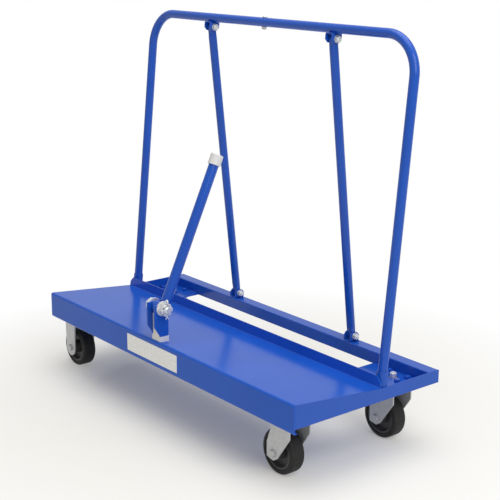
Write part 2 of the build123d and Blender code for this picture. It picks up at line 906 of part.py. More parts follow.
def make_arm_cap():
    radius = cap_diameter / 2
    cap = rod_z(radius, arm_reach - cap_skirt, arm_reach + cap_top)
    cap = fillet(cap.edges().sort_by(Axis.Z)[-1], cap_corner)
    cap -= rod_z(arm_diameter / 2 + tube_gap / 2, arm_reach - cap_skirt, arm_reach)
    return arm_frame * Pos(0, arm_offset, 0) * cap


# Every node of the cart


def group(make, keys):
    """Alike pieces of one body, as separate solids of one node."""
    return [make(key) for key in keys]


def write_node(name, pieces):
    """Write one piece, or a list of alike ones, in the cart's own frame."""
    if isinstance(pieces, list):
        moved = Compound(children=[centring * piece for piece in pieces])
    else:
        moved = centring * pieces
    export_step(moved, f"parts/{name}.step")


sides = tuple(ends.values())
rigid_names = ("rigid_front", "rigid_rear")

nodes = {
    "deck_panel": make_deck_panel(),
    "rear_rail": make_rear_rail(),
    "deck_beam": make_deck_beam(),
    "deck_ribs": make_deck_ribs(),
    "hoop_splice": make_hoop_splice(),
    "splice_bolt": make_splice_bolt(),
    "splice_nut": make_splice_nut(),
    "brace_top_brackets": group(make_top_bracket, sides),
    "brace_foot_brackets": group(make_foot_bracket, sides),
    "brace_bolts": make_brace_bolts(),
    "brace_nuts": make_brace_nuts(),
    "brace_washers": make_brace_washers(),
    "caster_bolts": make_caster_bolts(),
    "caster_nuts": make_caster_nuts(),
    "rigid_axles": group(make_axle, rigid_names),
    "rigid_axle_nuts": group(make_axle_nut, rigid_names),
    "rigid_axle_sleeves": group(make_axle_sleeve, rigid_names),
    "swivel_plates": group(make_swivel_plate, swivel_places),
    "swivel_races": group(make_swivel_race, swivel_places),
    "kingpins": group(make_kingpin, swivel_places),
    "arm_block": make_arm_block(),
    "block_bolts": make_block_bolts(),
    "arm_bracket": make_arm_bracket(),
    "bracket_screws": make_bracket_screws(),
    "pivot_bolt": make_pivot_bolt(),
    "pivot_washers": make_pivot_washers(),
    "pivot_nut": make_pivot_nut(),
    "split_pin": make_split_pin(),
    "arm_barrel": make_arm_barrel(),
    "arm_tube": make_arm_tube(),
    "arm_cap": make_arm_cap(),
}
for name, side in ends.items():
    nodes[f"side_plate_{name}"] = make_side_plate(side)
    nodes[f"caster_plate_{name}"] = make_caster_plate(side)
    nodes[f"hoop_socket_{name}"] = make_hoop_socket(side)
    nodes[f"hoop_{name}"] = make_hoop(side)
    nodes[f"brace_{name}"] = make_brace(side)
for row in rows:
    nodes[f"rigid_fork_{row}"] = make_rigid_fork(casters[f"rigid_{row}"])
    nodes[f"swivel_fork_{row}"] = make_swivel_fork(casters[f"swivel_{row}"])
    nodes[f"swivel_axle_{row}"] = make_axle(f"swivel_{row}")
    nodes[f"swivel_axle_nut_{row}"] = make_axle_nut(f"swivel_{row}")
    nodes[f"swivel_axle_sleeve_{row}"] = make_axle_sleeve(f"swivel_{row}")
for name in casters:
    nodes[f"{name}_wheel"] = make_wheel(name)
    nodes[f"{name}_tyre"] = make_tyre(name)

os.makedirs("parts", exist_ok=True)
for name, pieces in nodes.items():
    write_node(name, pieces)
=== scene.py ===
"""Looks of a drywall cart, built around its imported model.

The cart is a sloped blue deck on four casters, a leaning tube hoop with two
rear braces, and a hinged prop arm at the middle of the front edge.
X runs along the cart, Y from its front to its back, Z up from the floor.
"""

import json
import math

import bmesh
import bpy
from bpy.props import FloatProperty, FloatVectorProperty, IntProperty, PointerProperty
from mathutils import Matrix, Vector

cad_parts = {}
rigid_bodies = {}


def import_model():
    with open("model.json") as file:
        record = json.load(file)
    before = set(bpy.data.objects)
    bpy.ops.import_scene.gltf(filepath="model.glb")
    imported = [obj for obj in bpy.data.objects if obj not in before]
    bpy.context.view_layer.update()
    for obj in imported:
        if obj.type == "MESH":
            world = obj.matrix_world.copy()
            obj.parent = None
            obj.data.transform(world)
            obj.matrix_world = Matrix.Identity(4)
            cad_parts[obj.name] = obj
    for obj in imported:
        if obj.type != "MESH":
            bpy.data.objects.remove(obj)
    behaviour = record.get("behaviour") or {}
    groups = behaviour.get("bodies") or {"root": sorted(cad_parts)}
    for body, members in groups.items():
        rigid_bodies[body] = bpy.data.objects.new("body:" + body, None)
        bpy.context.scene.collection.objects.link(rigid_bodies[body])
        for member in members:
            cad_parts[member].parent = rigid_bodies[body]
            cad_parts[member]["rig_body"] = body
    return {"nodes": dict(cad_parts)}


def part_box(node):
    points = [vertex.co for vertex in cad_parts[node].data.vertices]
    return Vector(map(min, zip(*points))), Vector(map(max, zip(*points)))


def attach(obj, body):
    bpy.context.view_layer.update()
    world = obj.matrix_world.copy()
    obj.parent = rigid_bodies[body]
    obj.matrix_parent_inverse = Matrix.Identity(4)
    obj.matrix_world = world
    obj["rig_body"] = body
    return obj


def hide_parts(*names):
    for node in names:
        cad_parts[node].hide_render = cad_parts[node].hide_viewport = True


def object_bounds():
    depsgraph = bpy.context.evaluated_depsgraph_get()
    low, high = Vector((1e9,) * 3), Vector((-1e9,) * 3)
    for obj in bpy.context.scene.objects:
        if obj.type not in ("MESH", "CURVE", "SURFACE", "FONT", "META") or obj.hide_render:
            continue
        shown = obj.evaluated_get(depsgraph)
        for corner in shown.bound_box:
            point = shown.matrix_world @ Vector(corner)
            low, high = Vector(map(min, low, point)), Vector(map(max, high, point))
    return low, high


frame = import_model()
cad_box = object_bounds()

bl_info = {
    "name": "Drywall cart",
    "version": (1, 0, 0),
    "blender": (4, 5, 0),
    "location": "3D View > Sidebar > Cart",
    "description": "Finishes, tubes, wheels, welds and fasteners of a drywall cart",
    "category": "Object",
}

mm = 0.001
lengthwise = Vector((1, 0, 0))
crosswise = Vector((0, 1, 0))
upright = Vector((0, 0, 1))

# Limits: corners that are one, slivers that are dropped, places that agree,
# faces that make one flat face, and edges that stay sharp in the shading
MERGED = 0.001 * mm
SLIVER = 0.002 * mm
NEAR = 0.01 * mm
FLAT = math.radians(0.4)
SHARP = math.radians(42.0)

# Bolt threads: steps in one turn, depth and bare tip as shares of the pitch, and
# how long the step down to the core is and how deep a thread's foot lies in it
THREAD_STEPS = 24
THREAD_DEPTH = 0.6
THREAD_BARE = 0.3
THREAD_LAP = 0.1 * mm

# Weld beads: steps round a bead, and its width between the ripples as a share
BEAD_SIDES = 10
BEAD_WAIST = 0.80


# Sizes and colours that a user would change


def length(name, description, default):
    """A size in metres."""
    return FloatProperty(name=name, description=description, default=default, unit="LENGTH")


def angle(name, description, degrees):
    """An angle, whose default is given in degrees."""
    return FloatProperty(
        name=name, description=description, default=math.radians(degrees), subtype="ANGLE"
    )


def count(name, description, default):
    """A whole number of steps round or along a shape."""
    return IntProperty(name=name, description=description, default=default, min=3)


def level(name, description, default):
    """A strength or a share, from nought up."""
    return FloatProperty(name=name, description=description, default=default, min=0)


def paint(name, description, default):
    """A colour."""
    return FloatVectorProperty(
        name=name, description=description, default=default, subtype="COLOR", size=3, min=0, max=1
    )


class CartSizes(bpy.types.PropertyGroup):
    """Sizes of the pieces that are shaped here."""

    sheet_edge: length("Sheet edge", "Rounding of painted sheet edges", 0.8 * mm)
    fork_edge: length("Fork edge", "Rounding of the pressed casters' edges", 1.1 * mm)
    fine_edge: length("Fine edge", "Rounding of edges on fasteners", 0.35 * mm)
    plastic_edge: length("Plastic edge", "Rounding of moulded edges", 1.4 * mm)
    hoop_tube: length("Hoop tube", "Outside diameter of the hoop's tube", 26.7 * mm)
    hoop_wall: length("Hoop wall", "Wall of the hoop's tube", 2.0 * mm)
    hoop_bend: length("Hoop bend", "Radius of the bends at the tube's middle", 105.0 * mm)
    socket_wall: length("Socket wall", "Wall of the hoop's sockets", 2.0 * mm)
    lean: angle("Lean", "Lean of the hoop and slope of the deck", 5.5)
    tube_sides: count("Tube sides", "Steps round a tube", 64)
    bend_steps: count("Bend steps", "Steps in one bend of the hoop", 28)
    weld: length("Weld", "Radius of a weld bead", 2.1 * mm)
    weld_ripple: length("Weld ripple", "Distance between the ripples of a bead", 2.4 * mm)
    thread: length("Thread", "Pitch of the threads on bolts", 1.5 * mm)
    tyre_shoulder: length("Tyre shoulder", "Rounding of a tyre's shoulders", 7.0 * mm)
    tyre_seam: length("Tyre seam", "Height of the moulding seam round a tyre", 0.25 * mm)
    wheel_sides: count("Wheel sides", "Steps round a wheel", 112)
    label_width: length("Label width", "Length of the blank label", 255.0 * mm)
    label_height: length("Label height", "Height of the blank label", 52.0 * mm)
    label_sheet: length("Label sheet", "Thickness of the blank label", 0.6 * mm)
    label_corner: length("Label corner", "Rounding of the label's corners", 2.0 * mm)


class CartColours(bpy.types.PropertyGroup):
    """Colours of the finishes."""

    blue: paint("Blue", "Powder coat of the frame", (0.010, 0.090, 0.52))
    deck_blue: paint("Deck blue", "Duller powder coat of the deck", (0.014, 0.110, 0.61))
    rubbed: paint("Rubbed blue", "Powder coat where sheets have slid", (0.10, 0.19, 0.55))
    zinc: paint("Zinc", "Plated caster sheet", (0.56, 0.565, 0.575))
    bright_zinc: paint("Bright zinc", "Plated fasteners", (0.80, 0.81, 0.82))
    rubber: paint("Rubber", "Tyres", (0.013, 0.013, 0.013))
    # The wheel centres' dark grey is lighter than the tyres' black: painted light that lifts the
    # shade in the deep dished recess of each wheel
    centre: paint("Wheel centre", "Moulded wheel centres", (0.050, 0.050, 0.052))
    nylon: paint("White nylon", "Cap and block", (0.80, 0.80, 0.80))
    label: paint("Label", "Blank label", (0.97, 0.97, 0.97))
    # The floor's warm tint is painted light: it offsets the blue light that the cart bounces onto
    # the floor, so that the shadow under the cart stays grey
    floor: paint("Floor", "Floor of the studio", (0.95, 0.935, 0.87))


class CartStudio(bpy.types.PropertyGroup):
    """Camera and light."""

    sky: level("Sky", "Strength of the light from all round", 0.30)
    sky_colour: paint("Sky colour", "Colour of the light from all round", (1.0, 0.97, 0.92))
    gloss_loss: level("Gloss loss", "How much dimmer than white the sky is in gloss", 0.30)
    key: level("Key", "Power of the lamp at the right", 64.0)
    key_size: length("Key size", "Side of the lamp at the right", 2.6)
    key_place: FloatVectorProperty(
        name="Key place", description="Place of the lamp at the right", default=(3.4, -0.6, 2.8)
    )
    top: level("Top", "Power of the lamp overhead", 72.0)
    top_size: length("Top size", "Side of the lamp overhead", 3.0)
    top_place: FloatVectorProperty(
        name="Top place", description="Place of the lamp overhead", default=(0.2, 0.2, 3.6)
    )
    floor_near: length("Floor near", "Distance at which the floor starts to fade", 0.43)
    floor_far: length("Floor far", "Distance at which the floor is all white", 1.22)
    floor_glow: level("Floor glow", "Share of white in the floor near the cart", 0.14)
    lens: FloatProperty(name="Lens", description="Focal length in millimetres", default=82.48)
    shift_x: FloatProperty(name="Shift across", description="Sideways shift", default=-0.0498)
    shift_y: FloatProperty(name="Shift up", description="Upward shift", default=-0.0098)
    place: FloatVectorProperty(
        name="Place", description="Place of the camera", default=(2.6174, -2.00485, 1.3539)
    )
    yaw: angle("Yaw", "Turn of the camera from the cart's depth", -50.02)
    pitch: angle("Pitch", "Downward tilt of the camera", 14.62)
    roll: angle("Roll", "Roll of the camera", 0.64)


# Node sums: a wire is one output of a node, and takes part in arithmetic


class Wire:
    """One output of a node."""

    def __init__(self, nodes, socket):
        self.nodes = nodes
        self.socket = socket

    def sum(self, operation, *values):
        """One Math node."""
        return self.nodes.node("ShaderNodeMath", {"operation": operation}, values)

    def __add__(self, other):
        return self.sum("ADD", self, other)

    def __sub__(self, other):
        return self.sum("SUBTRACT", self, other)

    def __rsub__(self, other):
        return self.sum("SUBTRACT", other, self)

    def __mul__(self, other):
        return self.sum("MULTIPLY", self, other)

    def larger(self, other):
        """The larger of two values."""
        return self.sum("MAXIMUM", self, other)

    __radd__ = __add__
    __rmul__ = __mul__


class Nodes:
    """A node tree, with one way to add any node."""

    def __init__(self, tree):
        self.tree = tree

    @staticmethod
    def pick(sockets, key):
        """A socket by its number, its identifier or its name."""
        if isinstance(key, int):
            return sockets[key]
        return next(s for s in sockets if key in (s.identifier, s.name))

    def plug(self, socket, value):
        """Link a wire to a socket, or set the socket's own value."""
        if isinstance(value, Wire):
            self.tree.links.new(value.socket, socket)
        else:
            socket.default_value = value

    def node(self, kind, settings=None, sockets=(), out=0):
        """Any node: its type, its settings, its sockets' values or links, and its output."""
        node = self.tree.nodes.new(kind)
        for key, value in (settings or {}).items():
            setattr(node, key, value)
        pairs = sockets.items() if isinstance(sockets, dict) else enumerate(sockets)
        for key, value in pairs:
            self.plug(self.pick(node.inputs, key), value)
        return Wire(self, self.pick(node.outputs, out)) if len(node.outputs) else None

    def between(self, value, low, high, start=0.0, end=1.0):
        """A value taken from low..high to start..end, and held there."""
        return self.node("ShaderNodeMapRange", {"clamp": True}, (value, low, high, start, end))

    def tint(self, mask, first, second):
        """A colour between two, by a mask."""
        sockets = {"Factor_Float": mask, "A_Color": first, "B_Color": second}
        settings = {"data_type": "RGBA", "blend_type": "MIX"}
        return self.node("ShaderNodeMix", settings, sockets, out="Result_Color")

    def seen(self):
        """One for rays from the camera and in gloss and glass, nought for light on things."""
        rays = [
            self.node("ShaderNodeLightPath", out=f"Is {kind} Ray")
            for kind in ("Camera", "Glossy", "Transmission")
        ]
        return rays[0].larger(rays[1]).larger(rays[2])


class Finish(Nodes):
    """A material and the nodes that make it."""

    def __init__(self, name):
        self.material = bpy.data.materials.new(name)
        self.material.use_nodes = True
        super().__init__(self.material.node_tree)
        self.shader = self.tree.nodes["Principled BSDF"]
        self.place = self.node("ShaderNodeTexCoord", out="Object")

    def stretched(self, scale):
        """Object coordinates with their own scale along each axis."""
        return self.node("ShaderNodeMapping", None, {"Vector": self.place, "Scale": scale})

    def grain(self, scale, detail, roughness=0.5, where=None):
        """Soft noise from nought to one."""
        sockets = {
            "Vector": where or self.place,
            "Scale": scale,
            "Detail": detail,
            "Roughness": roughness,
        }
        return self.node("ShaderNodeTexNoise", {"noise_dimensions": "3D"}, sockets)

    def cloud(self, scale, detail, start=0.0, end=1.0, roughness=0.5):
        """Soft noise whose middle part is spread out from start to end."""
        return self.between(self.grain(scale, detail, roughness), 0.3, 0.7, start, end)

    def cells(self, scale):
        """Distance to the middle of the nearest of many small cells."""
        sockets = {"Vector": self.place, "Scale": scale}
        return self.node("ShaderNodeTexVoronoi", {"feature": "F1"}, sockets)

    def relief(self, height, distance, strength):
        """A bump of a height pattern."""
        sockets = {"Height": height, "Distance": distance, "Strength": strength}
        return self.node("ShaderNodeBump", None, sockets)

    def set(self, **values):
        """Values or links of the shader's own sockets, with spaces as underscores."""
        for key, value in values.items():
            self.plug(self.shader.inputs[key.replace("_", " ")], value)


def solid(colour, share=1.0):
    """A colour with its alpha, made lighter or darker by a share."""
    return tuple(min(1.0, part * share) for part in colour) + (1.0,)


# Finishes


def blue_powder_coat(colours, scuffed=False):
    """Glossy powder coat with orange peel, and on the deck faint rubbed places."""
    coat = Finish("blue_powder_coat_deck" if scuffed else "blue_powder_coat")
    colour = colours.deck_blue if scuffed else colours.blue
    cloud = coat.cloud(5.0, 3.0)
    base = coat.tint(cloud, solid(colour, 0.94), solid(colour, 1.05))
    peel = coat.grain(330.0, 1.0)
    fine = coat.grain(1400.0, 1.0)
    rough = coat.between(coat.grain(24.0, 3.0), 0.25, 0.75, 0.17, 0.23)
    if scuffed:
        lanes = coat.stretched((1.2, 90.0, 90.0))
        rub = coat.between(coat.grain(2.0, 4.0, 0.65, lanes), 0.60, 0.74)
        worn = coat.between(coat.grain(4.0, 2.0), 0.50, 0.64)
        scuff = rub * worn
        base = coat.tint(scuff * 0.12, base, solid(colours.rubbed))
        rough = rough + scuff * 0.10
    normal = coat.relief(peel + fine * 0.25, 0.25 * mm, 0.10)
    coat.set(Base_Color=base, Roughness=rough, Normal=normal)
    coat.set(Specular_IOR_Level=0.20 if scuffed else 0.36)
    return coat.material


def zinc_plate(colours):
    """Plated sheet: grey, softly mottled, with faint rolling marks."""
    plate = Finish("zinc_plate")
    spangle = plate.cells(90.0)
    cloud = plate.grain(18.0, 3.0)
    mix = plate.between(spangle * 0.5 + cloud * 0.6, 0.30, 0.72)
    base = plate.tint(mix, solid(colours.zinc, 0.95), solid(colours.zinc, 1.07))
    rough = plate.cloud(120.0, 3.0, 0.38, 0.50, roughness=0.6)
    lines = plate.grain(6.0, 2.0, 0.5, plate.stretched((14.0, 14.0, 160.0)))
    normal = plate.relief(lines + spangle * 0.4, 0.05 * mm, 0.15)
    plate.set(Base_Color=base, Roughness=rough, Normal=normal, Metallic=0.45)
    return plate.material


def bright_zinc(colours):
    """Bright plated fasteners with fine tool marks."""
    plate = Finish("bright_zinc")
    cloud = plate.cloud(160.0, 3.0, roughness=0.6)
    base = plate.tint(cloud, solid(colours.bright_zinc, 0.92), solid(colours.bright_zinc))
    rough = plate.cloud(700.0, 2.0, 0.30, 0.42)
    normal = plate.relief(plate.grain(1800.0, 2.0), 0.05 * mm, 0.2)
    plate.set(Base_Color=base, Roughness=rough, Normal=normal, Metallic=0.55)
    return plate.material


def tyre_rubber(colours):
    """Black rubber with a fine skin and a dusty tread."""
    rubber = Finish("tyre_rubber")
    dust = rubber.between(rubber.grain(60.0, 4.0, 0.6), 0.45, 0.75)
    base = rubber.tint(dust, solid(colours.rubber), solid(colours.rubber, 1.9))
    rough = rubber.cloud(240.0, 3.0, 0.56, 0.72)
    normal = rubber.relief(rubber.grain(2200.0, 2.0), 0.06 * mm, 0.35)
    rubber.set(Base_Color=base, Roughness=rough, Normal=normal, Specular_IOR_Level=0.35)
    return rubber.material


def wheel_plastic(colours):
    """Moulded wheel centre with a spark-eroded grain, in a black lifted to dark grey as painted
    light against the shade in its deep dished recess.
    """
    plastic = Finish("wheel_centre_plastic")
    cloud = plastic.cloud(40.0, 3.0)
    # This colour carries that painted light: a black lifted to grey that stands in for light in
    # the recess
    base = plastic.tint(cloud, solid(colours.centre, 0.85), solid(colours.centre, 1.2))
    rough = plastic.cloud(300.0, 2.0, 0.40, 0.52)
    normal = plastic.relief(plastic.grain(2600.0, 1.0), 0.05 * mm, 0.3)
    plastic.set(Base_Color=base, Roughness=rough, Normal=normal)
    return plastic.material


def white_nylon(colours):
    """Satin white nylon, a little darker where it is handled."""
    nylon = Finish("white_nylon")
    handled = nylon.between(nylon.grain(45.0, 4.0, 0.6), 0.42, 0.72)
    base = nylon.tint(handled, solid(colours.nylon), solid(colours.nylon, 0.93))
    rough = nylon.cloud(260.0, 2.0, 0.38, 0.50)
    normal = nylon.relief(nylon.grain(1500.0, 2.0), 0.05 * mm, 0.25)
    nylon.set(Base_Color=base, Roughness=rough, Normal=normal)
    return nylon.material


def blank_label(colours):
    """A plain white label with a soft sheen."""
    label = Finish("blank_label")
    cloud = label.cloud(30.0, 3.0)
    base = label.tint(cloud, solid(colours.label, 0.98), solid(colours.label))
    rough = label.cloud(90.0, 2.0, 0.22, 0.30)
    normal = label.relief(label.grain(500.0, 1.0), 0.005 * mm, 0.03)
    label.set(Base_Color=base, Roughness=rough, Normal=normal, Specular_IOR_Level=1.0)
    return label.material


makers = {
    "deck": lambda colours: blue_powder_coat(colours, scuffed=True),
    "blue": blue_powder_coat,
    "zinc": zinc_plate,
    "bright": bright_zinc,
    "rubber": tyre_rubber,
    "centre": wheel_plastic,
    "nylon": white_nylon,
    "label": blank_label,
}
made = {}


def finish(name):
    """A finish by its short name, made when it is first asked for."""
    if name not in made:
        made[name] = makers[name](bpy.context.scene.cart_colours)
    return made[name]


# Shared ways to make a piece


def body_of(node):
    """The name of the body that a node rides on."""
    return frame["nodes"][node]["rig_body"]


def copy_of(node):
    """A node's own triangles, merged, with flat areas joined to whole faces."""
    bm = bmesh.new()
    bm.from_mesh(frame["nodes"][node].data)
    bmesh.ops.remove_doubles(bm, verts=bm.verts, dist=MERGED)
    bmesh.ops.dissolve_limit(
        bm, angle_limit=FLAT, verts=bm.verts, edges=bm.edges, delimit={"NORMAL"}
    )
    return bm


def rounded(bm, edges, width, segments=2):
    """Round some edges, and drop what the rounding leaves without a size."""
    bmesh.ops.bevel(
        bm,
        geom=edges,
        offset=width,
        offset_type="OFFSET",
        segments=segments,
        profile=0.5,
        affect="EDGES",
        clamp_overlap=True,
        loop_slide=True,
        material=-1,
    )
    bmesh.ops.remove_doubles(bm, verts=bm.verts, dist=SLIVER)
    bmesh.ops.dissolve_degenerate(bm, dist=SLIVER, edges=bm.edges)


def ease(bm, width, segments=2, sharper=38.0):
    """Round every edge that is sharper than an angle in degrees."""
    limit = math.radians(sharper)
    sharp = [e for e in bm.edges if len(e.link_faces) == 2 and e.calc_face_angle(0) > limit]
    rounded(bm, sharp, width, segments)


def place(bm, name, body, look, replaces=()):
    """Make the shape a piece that rides on a body, with its finish."""
    mesh = bpy.data.meshes.new(name)
    bm.to_mesh(mesh)
    bm.free()
    mesh.shade_smooth()
    mesh.set_sharp_from_angle(angle=SHARP)
    mesh.materials.append(finish(look))
    piece = bpy.data.objects.new(name, mesh)
    bpy.context.scene.collection.objects.link(piece)
    weighted = piece.modifiers.new("even_shading", "WEIGHTED_NORMAL")
    weighted.keep_sharp = True
    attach(piece, body)
    if replaces:
        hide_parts(*replaces)


def stand_in(bm, node, look):
    """Let the shape take the place of one node."""
    place(bm, f"{node}_shaped", body_of(node), look, [node])


def dressed(node, look, width, segments=2):
    """Replace a node by its own shape with the sharp edges rounded."""
    bm = copy_of(node)
    ease(bm, width, segments)
    stand_in(bm, node, look)


def ring(bm, radius, matrix, sides):
    """The edges of one circle, square to the matrix's own Z."""
    circle = bmesh.ops.create_circle(
        bm, cap_ends=False, radius=radius, segments=sides, matrix=matrix
    )
    return edges_among(circle["verts"])


def edges_among(corners):
    """The edges that join two of the corners."""
    chosen = set(corners)
    found = []
    for corner in corners:
        for edge in corner.link_edges:
            if chosen.issuperset(edge.verts) and edge not in found:
                found.append(edge)
    return found


def corners_of(edges):
    """The corners at the ends of the edges, each once."""
    found = []
    for edge in edges:
        found += [v for v in edge.verts if v not in found]
    return found


def drawn_out(bm, edges, move):
    """Draw a ring of edges out by a matrix, and give its new edges."""
    new = bmesh.ops.extrude_edge_only(bm, edges=edges)["geom"]
    corners = [part for part in new if isinstance(part, bmesh.types.BMVert)]
    bmesh.ops.transform(bm, matrix=move, verts=corners)
    return edges_among(corners)


def bent(bm, edges, centre, axis, turn, steps):
    """Turn a ring of edges about an axis, and give the ring where it ends."""
    spun = bmesh.ops.spin(
        bm,
        geom=corners_of(edges) + edges,
        cent=centre,
        axis=axis,
        angle=turn,
        steps=steps,
        use_merge=False,
    )
    corners = [part for part in spun["geom_last"] if isinstance(part, bmesh.types.BMVert)]
    return edges_among(corners)


def walled(bm, thickness):
    """Give an open skin its wall, measured inwards."""
    bmesh.ops.remove_doubles(bm, verts=bm.verts, dist=MERGED)
    bmesh.ops.recalc_face_normals(bm, faces=bm.faces)
    bmesh.ops.solidify(bm, geom=bm.faces[:], thickness=thickness)
    bmesh.ops.recalc_face_normals(bm, faces=bm.faces)


def turned(bm, outline, sides, matrix):
    """Turn an outline of (radius, height) corners all the way round the matrix's Z."""
    corners = [bm.verts.new((radius, 0, height)) for radius, height in outline]
    edges = [bm.edges.new(pair) for pair in zip(corners, corners[1:] + corners[:1])]
    bmesh.ops.spin(
        bm,
        geom=corners + edges,
        cent=(0, 0, 0),
        axis=(0, 0, 1),
        angle=math.tau,
        steps=sides,
        use_merge=True,
    )
    bmesh.ops.remove_doubles(bm, verts=bm.verts, dist=MERGED)
    bmesh.ops.recalc_face_normals(bm, faces=bm.faces)
    bmesh.ops.transform(bm, matrix=matrix, verts=bm.verts)


def along(direction, where):
    """A matrix whose Z lies along a direction, at a place."""
    turn = Vector(direction).to_track_quat("Z", "Y")
    return Matrix.Translation(where) @ turn.to_matrix().to_4x4()


def middle_and_half(node):
    """The middle of a node's box, and half its size each way."""
    low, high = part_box(node)
    return (low + high) / 2, (high - low) / 2


def joined_to(corner):
    """All the corners of the piece that one corner belongs to."""
    found = {corner}
    waiting = [corner]
    while waiting:
        for edge in waiting.pop().link_edges:
            for other in edge.verts:
                if other not in found:
                    found.add(other)
                    waiting.append(other)
    return sorted(found, key=lambda v: v.index)


def apart(bm):
    """One corner list for each separate piece of a shape."""
    bm.verts.index_update()
    left = dict.fromkeys(bm.verts)
    pieces = []
    while left:
        piece = joined_to(next(iter(left)))
        for corner in piece:
            del left[corner]
        pieces.append(piece)
    return pieces


def threaded(bm, corners, direction, reach, radius, pitch):
    """Turn a bolt's end down to its core, and wind a thread on it."""
    direction = Vector(direction).normalized()
    tip = max(direction.dot(v.co) for v in corners)
    end = [v.co for v in corners if direction.dot(v.co) > tip - NEAR]
    middle = sum(end, Vector()) / len(end)
    matrix = along(direction, middle)
    core = radius - THREAD_DEPTH * pitch
    # Cut the shank twice, and narrow what lies beyond the first cut to the core
    start = corners[0]
    for setback in (reach, reach - THREAD_LAP):
        bm.verts.index_update()
        piece = joined_to(start)
        edges = {e: None for v in piece for e in v.link_edges}
        faces = {f: None for v in piece for f in v.link_faces}
        bmesh.ops.bisect_plane(
            bm,
            geom=piece + list(edges) + list(faces),
            plane_co=middle - direction * setback,
            plane_no=direction,
            dist=MERGED,
        )
    bm.verts.index_update()
    cut = THREAD_LAP / 2 - reach
    beyond = [v for v in joined_to(start) if direction.dot(v.co - middle) > cut]
    share = core / radius
    bmesh.ops.scale(bm, vec=(share, share, 1), space=matrix.inverted(), verts=beyond)
    # Wind a ridge along the core, and close its two ends
    turns = reach / pitch - 1 - THREAD_BARE
    foot = core - THREAD_LAP
    outline = ((foot, 0), (radius, pitch / 2), (foot, pitch))
    ridge = [bm.verts.new(matrix @ Vector((r, 0, z - reach))) for r, z in outline]
    edges = [bm.edges.new(pair) for pair in zip(ridge, ridge[1:] + ridge[:1])]
    spun = bmesh.ops.spin(
        bm,
        geom=ridge + edges,
        cent=middle,
        axis=direction,
        dvec=direction * pitch / THREAD_STEPS,
        angle=math.tau * turns,
        steps=round(THREAD_STEPS * turns),
        use_merge=False,
    )
    last = [part for part in spun["geom_last"] if isinstance(part, bmesh.types.BMVert)]
    for end in (edges, edges_among(last)):
        bmesh.ops.edgeloop_fill(bm, edges=end)
    bm.verts.index_update()
    winding = {f: None for v in joined_to(ridge[0]) for f in v.link_faces}
    bmesh.ops.recalc_face_normals(bm, faces=list(winding))


def bead(bm, start, step, steps, sizes, closed=False):
    """A rippled weld bead: a small ring moved on by a step again and again."""
    first = edges = ring(bm, sizes.weld, start, BEAD_SIDES)
    placed = start.copy()
    for number in range(1, steps + 1):
        edges = drawn_out(bm, edges, step)
        placed = step @ placed
        waist = BEAD_WAIST if number % 2 else 1 / BEAD_WAIST
        bmesh.ops.scale(
            bm, vec=(waist, waist, waist), space=placed.inverted(), verts=corners_of(edges)
        )
    if closed:
        bmesh.ops.remove_doubles(bm, verts=bm.verts, dist=NEAR)
    else:
        bmesh.ops.edgeloop_fill(bm, edges=first)
        bmesh.ops.edgeloop_fill(bm, edges=edges)
    bmesh.ops.recalc_face_normals(bm, faces=bm.faces)


def straight_bead(bm, start, end, sizes):
    """A bead from one point to another."""
    start, end = Vector(start), Vector(end)
    run = end - start
    steps = 2 * max(1, round(run.length / sizes.weld_ripple))
    bead(bm, along(run, start), Matrix.Translation(run / steps), steps, sizes)


def round_bead(bm, centre, radius, sizes):
    """A bead all the way round an upright tube's foot."""
    centre = Vector(centre)
    steps = 2 * round(math.tau * radius / sizes.weld_ripple)
    step = (
        Matrix.Translation(centre)
        @ Matrix.Rotation(math.tau / steps, 4, "Z")
        @ Matrix.Translation(-centre)
    )
    start = along(crosswise, centre + lengthwise * radius)
    bead(bm, start, step, steps, sizes, closed=True)


def piece_boxes(node):
    """The lowest and highest corner of each separate piece of a node."""
    bm = copy_of(node)
    boxes = []
    for corners in apart(bm):
        spans = [[v.co[axis] for v in corners] for axis in range(3)]
        boxes.append((Vector(map(min, spans)), Vector(map(max, spans))))
    bm.free()
    return boxes


# Operators, one for each piece or group of like pieces


class CART_OT_deck(bpy.types.Operator):
    """Round the edges of the sloped deck and its two end plates, and coat them."""

    bl_idname = "cart.deck"
    bl_label = "Deck and end plates"

    def execute(self, context):
        sizes = context.scene.cart_sizes
        dressed("deck_panel", "deck", sizes.sheet_edge)
        for node in ("side_plate_left", "side_plate_right"):
            dressed(node, "blue", sizes.sheet_edge)
        return {"FINISHED"}


class CART_OT_underframe(bpy.types.Operator):
    """Round the edges of the rail, the caster plates and the channels, and coat them."""

    bl_idname = "cart.underframe"
    bl_label = "Rail, plates and channels"

    def execute(self, context):
        sizes = context.scene.cart_sizes
        for node in (
            "rear_rail",
            "caster_plate_left",
            "caster_plate_right",
            "deck_beam",
            "deck_ribs",
        ):
            dressed(node, "blue", sizes.sheet_edge)
        return {"FINISHED"}


class HoopLine:
    """Where the hoop's tube runs, read from the boxes of its halves."""

    def __init__(self, sizes):
        self.radius = sizes.hoop_tube / 2
        self.lean = sizes.lean
        self.up = Vector((0, math.sin(self.lean), math.cos(self.lean)))
        self.back = Vector((0, math.cos(self.lean), -math.sin(self.lean)))
        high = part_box("hoop_left")[1]
        self.rail_y = high.y - self.radius
        self.rail_z = high.z - self.radius

    def foot(self, node, radius):
        """The middle of an upright tube where it stands on its plate."""
        middle, half = middle_and_half(node)
        low = middle - half
        return Vector((0, low.y + radius / math.cos(self.lean), low.z))

    def cut_foot(self, bm, foot):
        """Cut an upright tube level where it meets its plate."""
        bmesh.ops.bisect_plane(
            bm,
            geom=bm.verts[:] + bm.edges[:] + bm.faces[:],
            plane_co=foot,
            plane_no=-upright,
            clear_outer=True,
        )


